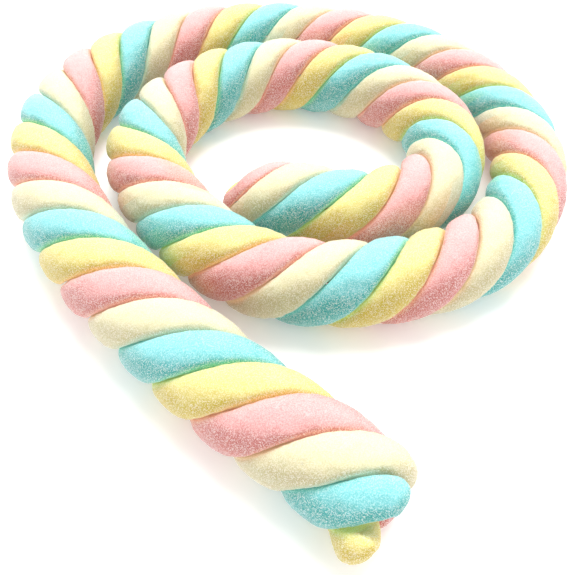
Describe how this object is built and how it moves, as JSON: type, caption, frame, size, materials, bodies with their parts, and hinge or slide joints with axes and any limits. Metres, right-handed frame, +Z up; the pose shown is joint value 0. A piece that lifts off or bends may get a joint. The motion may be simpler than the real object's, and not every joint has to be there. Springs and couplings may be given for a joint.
{
  "type": "twisted marshmallow rope",
  "caption": "Coiled rope of soft sugared marshmallow, pastel strands twisted round one another, lying flat in a spiral with a loose front end.",
  "frame": {"origin": "centre of the bounding box on the plane that the rope lies on", "axes": "+Z up from that plane, +Y from the loose front end towards the back of the coil, +X to the right as seen from the front"},
  "size_m": [0.1818, 0.2168, 0.0276],
  "materials": {
    "yellow_mallow": "soft marshmallow foam dusted with fine sugar, matt",
    "blue_mallow": "soft marshmallow foam dusted with fine sugar, matt",
    "cream_mallow": "soft marshmallow foam dusted with fine sugar, matt",
    "pink_mallow": "soft marshmallow foam dusted with fine sugar, matt"
  },
  "bodies": {
    "root": {"yellow_strand": "yellow_mallow", "blue_strand": "blue_mallow", "cream_strand": "cream_mallow", "pink_strand": "pink_mallow"}
  },
  "joints": []
}
